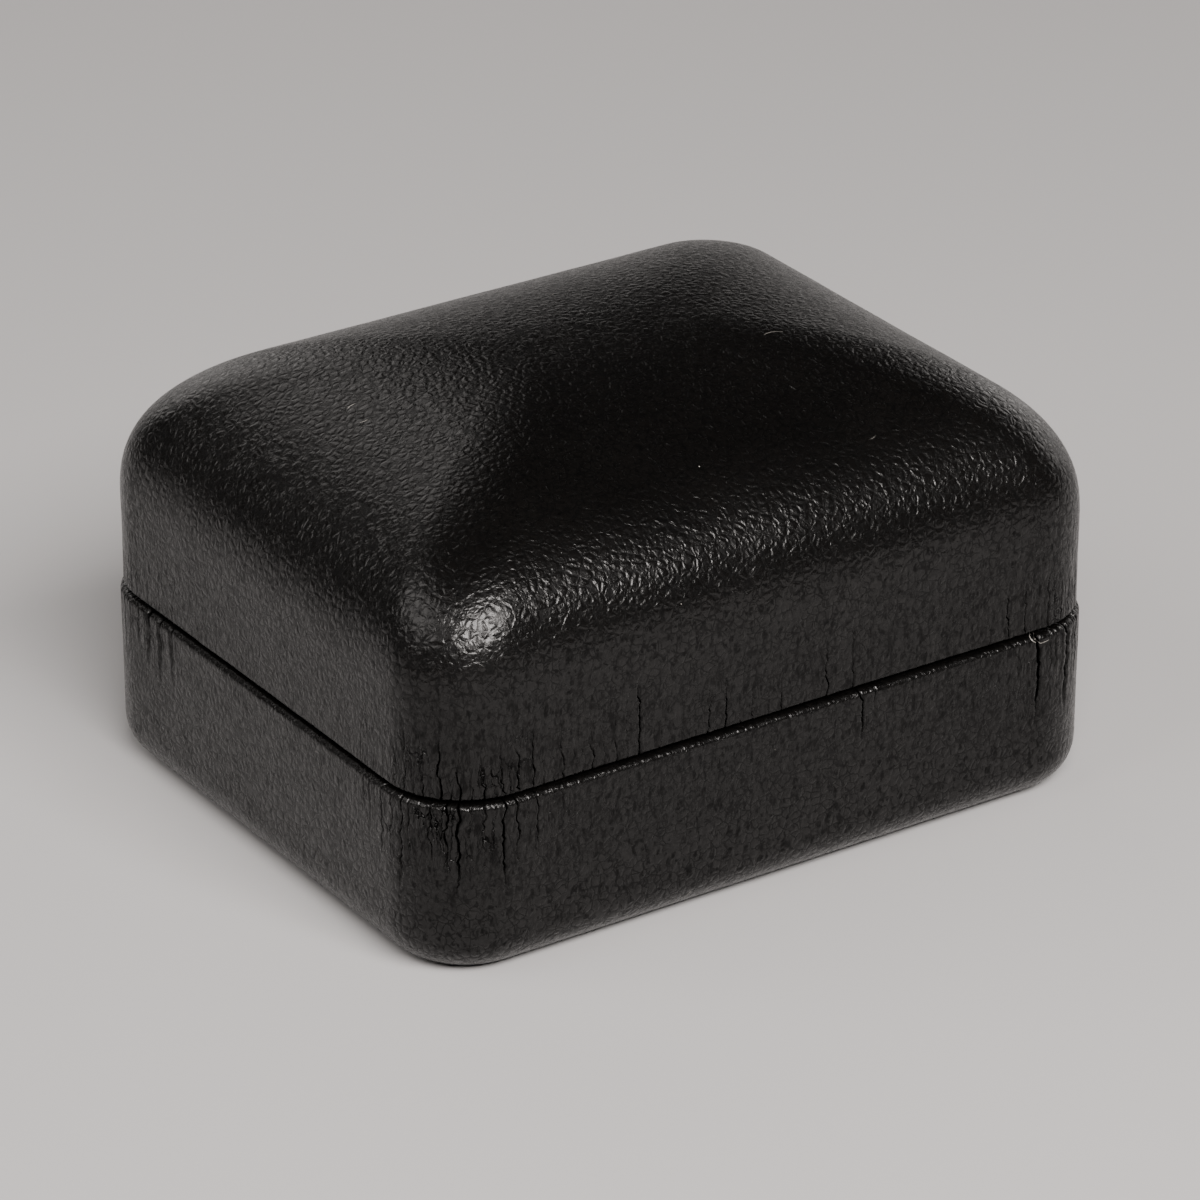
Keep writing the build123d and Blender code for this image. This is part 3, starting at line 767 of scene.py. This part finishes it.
def lid_rings():
    """The lid skin's rings: inside face from the middle of the dome, round the rim, up and over."""
    rings = []
    for station in (0.94, 0.8, 0.6, 0.4, 0.24, 0.12, 0.05, 0.015, 0.0):
        rings.append((*dome_ring(station, leather), 0, -1, 0, 0))
    turn_in_top = lid_bottom + turn_in_drop
    for inset, height in ((leather, lid_bottom + leather), (shell_inner, lid_bottom + leather),
                          (shell_inner, turn_in_top), (turn_in_inner, turn_in_top)):
        rings.append((lid_step + inset, height, corner_radius - lid_step - inset, 0, 1, 0, 0))
    inner_round = 0.3
    for share in (0.5, 0.2, 0.0):
        height = lid_bottom + inner_round + (turn_in_drop - inner_round) * share
        inset = lid_step + turn_in_inner
        rings.append((inset, height, corner_radius - inset, -1, 0, -5, 0))
    for turn in quarter_turn(4)[1:]:
        inset = lid_step + turn_in_inner - inner_round * (1 - math.cos(turn))
        height = lid_bottom + inner_round * (1 - math.sin(turn))
        rings.append((inset, height, corner_radius - inset, -math.cos(turn), -math.sin(turn), -1.2, 0.3))
    flat_inner = lid_step + turn_in_inner - inner_round
    flat_outer = lid_step + lid_rim_rounding
    for share in (0.4, 0.8):
        inset = flat_inner + (flat_outer - flat_inner) * share
        rings.append((inset, lid_bottom, corner_radius - inset, 0, -1, -1 + share, 0.6))
    for turn in quarter_turn(5):
        inset = lid_step + lid_rim_rounding * (1 - math.sin(turn))
        height = lid_bottom + lid_rim_rounding * (1 - math.cos(turn))
        rings.append((inset, height, corner_radius - inset, math.sin(turn), -math.cos(turn), turn / 8, 1))
    steps = 28
    wall = lid_wall - lid_rim_rounding
    for step in range(1, steps + 1):
        up = lid_rim_rounding + wall * step / steps
        rings.append((lid_step, lid_bottom + up, corner_radius - lid_step, 1, 0, up, 1))
    up = lid_wall
    previous = dome_ring(0, 0)
    for step in range(1, dome_steps + 1):
        station = 0.94 * (step / dome_steps) ** 2.2
        current = dome_ring(station, 0)
        across, rise = current[0] - previous[0], current[1] - previous[1]
        length = math.hypot(across, rise)
        up += length
        take = max(0.0, 1 - (up - lid_wall) / 30)
        rings.append((*current, rise / length, across / length, up, max(take, 0.35)))
        previous = current
    return rings


lid_chosen_creases = [
    (-5.4, 4.5, 0.14, 0.12, 0.3), (-4.2, 6.6, 0.18, 0.13, 0.2), (-3.1, 3.6, 0.12, 0.12, -0.2),
    (-2.1, 5.0, 0.18, 0.13, -0.2), (-0.4, 6.6, 0.34, 0.16, -0.6), (0.5, 3.4, 0.14, 0.12, 0.2),
    (1.4, 5.2, 0.26, 0.14, -0.5), (2.5, 4.0, 0.16, 0.12, -0.4), (3.6, 4.0, 0.30, 0.14, -0.5),
    (4.6, 5.0, 0.16, 0.12, -0.3), (5.5, 7.2, 0.24, 0.13, 0.2), (6.4, 4.6, 0.16, 0.12, -0.5),
    (7.2, 5.6, 0.34, 0.16, -0.9), (8.8, 7.6, 0.30, 0.15, 0.0), (9.9, 4.6, 0.16, 0.12, -0.4),
    (11.0, 5.6, 0.14, 0.12, -0.5), (12.0, 6.4, 0.24, 0.14, -0.7), (13.4, 5.0, 0.18, 0.12, -0.6),
    (14.3, 4.0, 0.14, 0.12, -0.3), (15.2, 5.4, 0.24, 0.14, -0.5), (16.4, 6.4, 0.14, 0.12, -0.5),
    (17.6, 7.6, 0.18, 0.13, -0.4), (18.8, 6.8, 0.14, 0.12, -0.6), (20.3, 8.2, 0.42, 0.18, -1.0),
    (22.6, 4.6, 0.14, 0.12, 0.3), (27.9, 4.6, 0.30, 0.14, 0.2), (29.7, 5.6, 0.34, 0.16, -0.2),
    (31.2, 3.6, 0.14, 0.12, 0.2), (32.6, 3.4, 0.18, 0.13, -0.3), (34.3, 3.0, 0.14, 0.12, 0.2),
    (35.8, 4.2, 0.22, 0.13, -0.2), (40.8, 6.6, 0.28, 0.15, 1.0), (43.8, 7.6, 0.14, 0.13, -0.2),
    (59.5, 4.4, 0.14, 0.12, -0.2), (61.8, 6.0, 0.32, 0.15, 0.2), (63.7, 5.8, 0.26, 0.14, -0.2),
    (66.4, 5.4, 0.22, 0.14, -0.3), (68.2, 4.4, 0.16, 0.13, 0.3),
]
lid_creases = corner_creases(box_plan, lid_chosen_creases, 29, 0.10, (3.0, 7.5))
lid_places = rim_places(box_plan, lid_creases, 0.7)
lid_skin = skin_piece("lid_leather_skin", box_plan, lid_rings(), lid_places, lid_creases, 0.05, 6.0,
                      close_flat)
cut_hinge_room(lid_skin, hinge_y - lid_step - shell_inner + 0.01, lid_bottom + turn_in_drop + 1,
               lid_bottom - 1)
lid_skin.data.materials.clear()
lid_skin.data.materials.append(black_leather)
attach(lid_skin, "lid")
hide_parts("lid_leather")


# ---- Velvet rolls ------------------------------------------------------------------------------------
# Three foam rolls wrapped in black velvet lie side by side on a board. Rings are held in the grooves
# between them. The velvet is folded round each end like a parcel and glued under the board.
foam_rounding = 5.2
velvet_gathers = 0.16


def make_nap_group():
    """Velvet pile: fine tufts, and soft patches where the pile leans another way."""
    group, enter, leave = node_group(
        "velvet_nap", [("Vector", "NodeSocketVector", None)],
        [("Tufts", "NodeSocketFloat"), ("Lean", "NodeSocketFloat")])
    tufts = add_noise(group, add_stretched(group, enter.outputs["Vector"], (5.0, 3.4, 5.0)), 1.0, 3.0, 0.65)
    group.links.new(tufts.outputs["Fac"], leave.inputs["Tufts"])
    lean = add_noise(group, enter.outputs["Vector"], 0.16, 2.0).outputs["Fac"]
    group.links.new(add_ramp(group, lean, 0.36, 0.66), leave.inputs["Lean"])
    return group


def make_black_velvet():
    """Short black silk velvet, with a soft light edge where the pile turns away."""
    material, tree, shader = new_material("black_velvet")
    nap = use_group(tree, make_nap_group())
    spot = in_millimetres(tree)
    tree.links.new(spot, nap.inputs["Vector"])
    dust = use_group(tree, dust_group)
    tree.links.new(spot, dust.inputs["Vector"])
    dust.inputs["Share"].default_value = 0.02
    tint = mix_colour(tree, nap.outputs["Lean"], (0.0045, 0.0042, 0.0046), (0.0110, 0.0102, 0.0108))
    # Painted shade: near black where the tufts are low, for the shade between them.
    tint = mix_colour(tree, add_ramp(tree, nap.outputs["Tufts"], 0.35, 0.7), (0.0015, 0.0014, 0.0016), tint)
    faint = add_math(tree, "MULTIPLY", dust.outputs["Speck"], 0.12)
    tint = mix_colour(tree, faint, tint, (0.30, 0.29, 0.27))
    tree.links.new(tint, shader.inputs["Base Color"])
    tree.links.new(add_ramp(tree, nap.outputs["Lean"], 0.0, 1.0, 0.78, 0.95), shader.inputs["Roughness"])
    shader.inputs["Specular IOR Level"].default_value = 0.25
    shader.inputs["Sheen Weight"].default_value = 0.8
    shader.inputs["Sheen Roughness"].default_value = 0.4
    shader.inputs["Sheen Tint"].default_value = (0.42, 0.42, 0.46, 1)
    bump = add_bump(tree, nap.outputs["Tufts"], 0.10)
    tree.links.new(bump.outputs["Normal"], shader.inputs["Normal"])
    return material


black_velvet = make_black_velvet()


def make_foam():
    """Cream open-celled foam, cut from a block."""
    material, tree, shader = new_material("cut_foam")
    spot = in_millimetres(tree)
    cells = add_cells(tree, spot, 2.2, "SMOOTH_F1").outputs["Distance"]
    # Painted shade: darker towards each cell's middle, where the bump sinks into a pore.
    tint = mix_colour(tree, cells, (0.42, 0.36, 0.22), (0.74, 0.67, 0.48))
    tree.links.new(tint, shader.inputs["Base Color"])
    tree.links.new(add_ramp(tree, cells, 0.1, 0.6, 0.98, 0.85), shader.inputs["Roughness"])
    tree.links.new(add_bump(tree, cells, 0.15).outputs["Normal"], shader.inputs["Normal"])
    return material


velvet_pile = 0.7
roll_corner = 2.6
roll_crown = 0.35
roll_foot = 0.5
cut_foam = make_foam()


def roll_rings(low, high, inside):
    """Rings of a roll, drawn in by an inside distance: its underside, its sides, and its rounded top."""
    middle = (high.y - low.y) / 2 - 0.25
    rings = [(inset, low.z + inside, 1.0, 0, -1, 0, 0) for inset in (middle, 5.0, 1.5)]
    for turn in quarter_turn(3):
        inset = inside + roll_foot * (1 - math.sin(turn))
        height = low.z + inside + roll_foot * (1 - math.cos(turn))
        rings.append((inset, height, roll_corner - inset, 1, 0, 12, 0))
    side_top = high.z - foam_rounding - roll_crown
    for step in range(1, 9):
        height = low.z + roll_foot + (side_top - low.z - roll_foot) * step / 8
        rings.append((inside, height, roll_corner - inside, 1, 0, side_top - height, 1))
    for turn in quarter_turn(16)[1:]:
        inset = foam_rounding - (foam_rounding - inside) * math.cos(turn)
        height = side_top + (foam_rounding - inside) * math.sin(turn)
        rings.append((inset, height, roll_corner + 0.3 * inset, math.cos(turn), math.sin(turn),
                      -0.04 * inset, 1))
    for share, take in ((0.35, 1), (0.7, 1), (1.0, 0)):
        inset = foam_rounding + (middle - foam_rounding) * share
        height = side_top + foam_rounding - inside + roll_crown * math.sin(share * math.pi / 2)
        rings.append((inset, height, 4.0, 0, 1, -0.2, take))
    return rings


def velvet_roll(place):
    """One foam roll and its velvet cover, with small gathers where the velvet is folded at its corners."""
    low, high = [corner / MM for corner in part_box("roll_velvet_" + place)]
    centre = ((low.x + high.x) / 2, (low.y + high.y) / 2)
    plan = Plan(high.x - low.x, high.y - low.y, roll_corner, centre)
    draw = random.Random("roll" + place)
    gathers = []
    for corner in plan.corner_middles:
        for step in range(-3, 4):
            spot = corner + step * 0.9 + draw.uniform(-0.2, 0.2)
            fading = 1 - abs(step) / 4.5
            reach = draw.uniform(4.0, 8.0) * fading
            depth = velvet_gathers * draw.uniform(0.5, 1.3) * fading
            gathers.append((spot, reach, depth, 0.34, draw.uniform(-0.25, 0.25), draw.uniform(0, 99)))
    places = rim_places(plan, gathers, 0.5)
    layers = (("velvet_roll_", 0.0, 0.14, black_velvet, "roll_velvet_", "black_velvet", 0.8),
              ("roll_filling_", velvet_pile, 0.0, cut_foam, "roll_foam_", "foam", 0.9))
    for name, inside, swell, material, node, finish, fill in layers:
        layer = skin_piece(name + place, plan, roll_rings(low, high, inside), places, gathers, swell, 4.0,
                           close_flat)
        layer.data.materials.append(material)
        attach(layer, "base")
        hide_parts(node + place)


for place in ("front", "middle", "back"):
    velvet_roll(place)


# ---- Collar and hidden layers of the base ------------------------------------------------------------
# A card band covered in the same velvet stands a little above the rim and guides the lid. Under the
# rolls are their board and the card on the floor of the tub. The tub itself is moulded in black plastic.
def dress(material, *nodes):
    """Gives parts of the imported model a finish."""
    for node in nodes:
        for slot in bpy.data.objects[node].material_slots:
            slot.material = material


dress(black_velvet, "collar_velvet")


def make_grey_card():
    """Grey box board, pressed from short mixed fibres."""
    material, tree, shader = new_material("grey_card")
    spot = in_millimetres(tree)
    fibres = add_noise(tree, add_stretched(tree, spot, (3.0, 0.7, 3.0)), 1.0, 4.0, 0.6).outputs["Fac"]
    flecks = add_ramp(tree, add_cells(tree, spot, 1.4, "F1").outputs["Distance"], 0.08, 0.16, 1.0, 0.0)
    tint = mix_colour(tree, fibres, (0.20, 0.18, 0.15), (0.36, 0.33, 0.29))
    tint = mix_colour(tree, add_math(tree, "MULTIPLY", flecks, 0.5), tint, (0.08, 0.07, 0.06))
    tree.links.new(tint, shader.inputs["Base Color"])
    tree.links.new(add_ramp(tree, fibres, 0.2, 0.8, 0.95, 0.80), shader.inputs["Roughness"])
    tree.links.new(add_bump(tree, fibres, 0.04).outputs["Normal"], shader.inputs["Normal"])
    return material


def make_black_plastic():
    """Black moulded polystyrene with a faint flow pattern and a satin skin."""
    material, tree, shader = new_material("black_plastic")
    spot = in_millimetres(tree)
    flow = add_noise(tree, add_stretched(tree, spot, (0.12, 0.12, 0.5)), 1.0, 3.0).outputs["Fac"]
    spark = add_noise(tree, spot, 6.0, 2.0).outputs["Fac"]
    tree.links.new(mix_colour(tree, flow, (0.008, 0.008, 0.009), (0.016, 0.016, 0.017)),
                   shader.inputs["Base Color"])
    tree.links.new(add_ramp(tree, flow, 0.3, 0.7, 0.38, 0.52), shader.inputs["Roughness"])
    tree.links.new(add_bump(tree, spark, 0.012).outputs["Normal"], shader.inputs["Normal"])
    return material


grey_card = make_grey_card()
black_plastic = make_black_plastic()
dress(grey_card, "base_floor_card", "collar_card", "insert_board", "lid_lining_card", "lid_pad_card")
dress(black_plastic, "base_shell", "lid_shell")


# ---- Satin lining of the lid -------------------------------------------------------------------------
# A strip of ivory satin glued on a card band round the inside of the lid. It is pulled tight, with a
# slight roll at its lower edge and a few soft ripples where it goes round the corners.
satin_thickness = 0.3
lining_low, lining_high = [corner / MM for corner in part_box("lid_lining_satin")]
lining_inset = (box_width - (lining_high.x - lining_low.x)) / 2


def close_round(bm, first, last):
    """Joins the last ring of a band to its first."""
    bmesh.ops.bridge_loops(bm, edges=first + last)


def make_ivory_satin():
    """Ivory satin: long floats of thread, some thicker than others, with a soft gloss across them."""
    material, tree, shader = new_material("ivory_satin")
    spot = in_millimetres(tree)
    threads = add_noise(tree, add_stretched(tree, spot, (0.8, 7.0, 9.0)), 1.0, 2.0, 0.5).outputs["Fac"]
    slubs = add_noise(tree, add_stretched(tree, spot, (0.25, 2.2, 2.6)), 1.0, 2.0, 0.5).outputs["Fac"]
    age = add_noise(tree, spot, 0.07, 3.0).outputs["Fac"]
    tint = mix_colour(tree, add_ramp(tree, age, 0.3, 0.75), (0.78, 0.72, 0.60), (0.72, 0.65, 0.52))
    tint = mix_colour(tree, add_ramp(tree, threads, 0.55, 0.85), tint, (0.58, 0.51, 0.39))
    tree.links.new(tint, shader.inputs["Base Color"])
    tree.links.new(add_ramp(tree, slubs, 0.3, 0.7, 0.34, 0.46), shader.inputs["Roughness"])
    shader.inputs["Sheen Weight"].default_value = 0.25
    shader.inputs["Anisotropic"].default_value = 0.5
    height = add_math(tree, "MULTIPLY_ADD", slubs, 0.6, threads)
    tree.links.new(add_bump(tree, height, 0.018).outputs["Normal"], shader.inputs["Normal"])
    return material


def lining_rings():
    """Round the strip's section: down the glued face, round the lower edge, up the inside, and over."""
    corner = corner_radius - lining_inset
    inner = satin_thickness
    edge = satin_thickness / 2
    tall = lining_high.z - lining_low.z
    rings = [(0, lining_high.z - edge, corner, 1, 0, 0, 0), (0, lining_low.z + edge, corner, 1, 0, 0, 0)]
    rings.append((0.05, lining_low.z + 0.05, corner, 0, -1, 0, 0))
    rings.append((inner - 0.05, lining_low.z + 0.03, corner - inner, 0, -1, 0, 0))
    for step in range(20):
        height = lining_low.z + edge + (tall - 2 * edge) * step / 19
        belly = 0.10 * math.sin(math.pi * step / 19)
        rings.append((inner + belly, height, corner - inner, -1, 0, 2 + height - lining_low.z, 1))
    rings.append((inner - 0.05, lining_high.z - 0.05, corner - inner, 0, 1, 0, 0))
    rings.append((0.05, lining_high.z - 0.05, corner, 0, 1, 0, 0))
    return rings


lining_plan = Plan(box_width - 2 * lining_inset, box_depth - 2 * lining_inset, corner_radius - lining_inset)
draw = random.Random(5)
lining_ripples = [(corner + step * 1.5 + draw.uniform(-0.3, 0.3), draw.uniform(6, 12),
                   draw.uniform(0.03, 0.09), 0.55, draw.uniform(-0.8, 0.8), draw.uniform(0, 99))
                  for corner in lining_plan.corner_middles for step in (-2, -1, 0, 1, 2)]
ivory_satin = make_ivory_satin()
lining_places = rim_places(lining_plan, lining_ripples, 0.7)
lining = skin_piece("lid_lining_strip", lining_plan, lining_rings(), lining_places, lining_ripples, 0.05, 3.5,
                    close_round)
lining.data.materials.append(ivory_satin)
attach(lining, "lid")
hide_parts("lid_lining_satin")


# ---- Padded panel of the lid -------------------------------------------------------------------------
# A card with wadding on it, covered in ivory satin that is drawn over its edges and glued behind. The
# wadding makes it belly downwards, and the satin gathers a little all round its edge.
pad_low, pad_high = [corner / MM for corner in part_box("lid_pad_satin")]
pad_corner = 4.0
pad_edge = 1.0
pad_belly = 0.35
pad_spread = 0.65
pad_plan = Plan(pad_high.x - pad_low.x, pad_high.y - pad_low.y, pad_corner)
draw = random.Random(17)
pad_gathers = []
gather_place = 0.0
while gather_place < pad_plan.length:
    gather_place += draw.uniform(1.6, 4.2)
    pad_gathers.append((gather_place % pad_plan.length, draw.uniform(2.5, 9.0), draw.uniform(0.08, 0.24),
                        draw.uniform(0.4, 0.8), draw.uniform(-0.5, 0.5), draw.uniform(0, 99)))


def pad_rings(inside, bottom, top):
    """A crowned panel, drawn in by an inside distance: its top face, its rounded edge, its bellied face."""
    rings = [(inset, top, 2.0, 0, 1, 0, 0) for inset in (24.0, 12.0, 4.0, inside + 0.3)]
    bottom -= pad_belly
    lift = pad_edge
    for step in range(1, 4):
        height = top - 0.2 - (top - 0.2 - bottom - lift) * step / 3
        inset = inside - pad_spread * step / 3
        rings.append((inset, height, pad_corner - inset, 1, 0, 0.1, 1))
    for turn in quarter_turn(8)[1:]:
        inset = inside + lift - (lift + pad_spread) * math.cos(turn)
        height = bottom + lift - 0.7 * lift * math.sin(turn)
        rings.append((inset, height, max(pad_corner - inset, 1.5), math.cos(turn), -math.sin(turn),
                      0.1 + inset, 1))
    for step in range(1, 19):
        share = step / 18
        inset = inside + lift + (26.0 - inside - lift) * share
        height = bottom + 0.3 * lift * (1 - share) ** 2
        rings.append((inset, height, max(pad_corner + 2 - 0.2 * inset, 1.0), 0, -1, 0.1 + inset, 1))
    return rings


pad_places = rim_places(pad_plan, pad_gathers, 0.7)
pad_cover = skin_piece("lid_pad_cover", pad_plan, pad_rings(0, pad_low.z, pad_high.z), pad_places,
                       pad_gathers, 0.10, 7.0, close_flat)
pad_cover.data.materials.append(ivory_satin)
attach(pad_cover, "lid")
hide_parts("lid_pad_satin")


def make_wadding():
    """White cotton wadding."""
    material, tree, shader = new_material("cotton_wadding")
    spot = in_millimetres(tree)
    tufts = add_noise(tree, spot, 0.9, 5.0, 0.7).outputs["Fac"]
    # Painted shade: greyer where the tufts are low, in the hollows between them.
    tint = mix_colour(tree, tufts, (0.55, 0.54, 0.51), (0.86, 0.85, 0.82))
    tree.links.new(tint, shader.inputs["Base Color"])
    tree.links.new(add_ramp(tree, tufts, 0.2, 0.8, 1.0, 0.9), shader.inputs["Roughness"])
    tree.links.new(add_bump(tree, tufts, 0.25).outputs["Normal"], shader.inputs["Normal"])
    return material


wadding_low, wadding_high = [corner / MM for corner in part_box("lid_pad_wadding")]
wadding = skin_piece("lid_pad_filling", pad_plan,
                     pad_rings(satin_thickness + 0.05, wadding_low.z + 0.05, wadding_high.z),
                     pad_places, pad_gathers, 0.10, 7.0, close_flat)
wadding.data.materials.append(make_wadding())
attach(wadding, "lid")
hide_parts("lid_pad_wadding")


# ---- Hinge -------------------------------------------------------------------------------------------
# Two steel leaves with rolled knuckles turn on a pin and are held by brass rivets. A blued flat spring
# presses on the cam in the middle, so the lid snaps open and shut.
def make_metal(name, bright, dull, low_rough, high_rough, streak, tarnish):
    """A brushed metal: streaks along its length, and a tarnish that gathers in soft patches."""
    material, tree, shader = new_material(name)
    spot = in_millimetres(tree)
    brushed = add_noise(tree, add_stretched(tree, spot, streak), 1.0, 3.0, 0.6).outputs["Fac"]
    patches = add_ramp(tree, add_noise(tree, spot, 0.5, 3.0).outputs["Fac"], 0.5, 0.75)
    tint = mix_colour(tree, brushed, dull, bright)
    tree.links.new(mix_colour(tree, add_math(tree, "MULTIPLY", patches, 0.6), tint, tarnish),
                   shader.inputs["Base Color"])
    tree.links.new(add_ramp(tree, brushed, 0.3, 0.7, low_rough, high_rough), shader.inputs["Roughness"])
    shader.inputs["Metallic"].default_value = 1.0
    tree.links.new(add_bump(tree, brushed, 0.008).outputs["Normal"], shader.inputs["Normal"])
    return material


plated_steel = make_metal("plated_steel", (0.66, 0.64, 0.60), (0.48, 0.47, 0.45), 0.24, 0.36, (0.5, 9, 9),
                          (0.24, 0.21, 0.17))
blued_spring = make_metal("blued_spring", (0.16, 0.18, 0.24), (0.09, 0.10, 0.14), 0.26, 0.38, (9, 9, 0.5),
                          (0.14, 0.09, 0.06))
rivet_brass = make_metal("rivet_brass", (0.80, 0.58, 0.27), (0.66, 0.46, 0.20), 0.22, 0.36, (4, 4, 4),
                         (0.26, 0.16, 0.07))
dress(plated_steel, "hinge_leaf_base", "hinge_leaf_lid", "hinge_pin")
dress(blued_spring, "snap_spring")
dress(rivet_brass, "base_rivets", "lid_rivets")
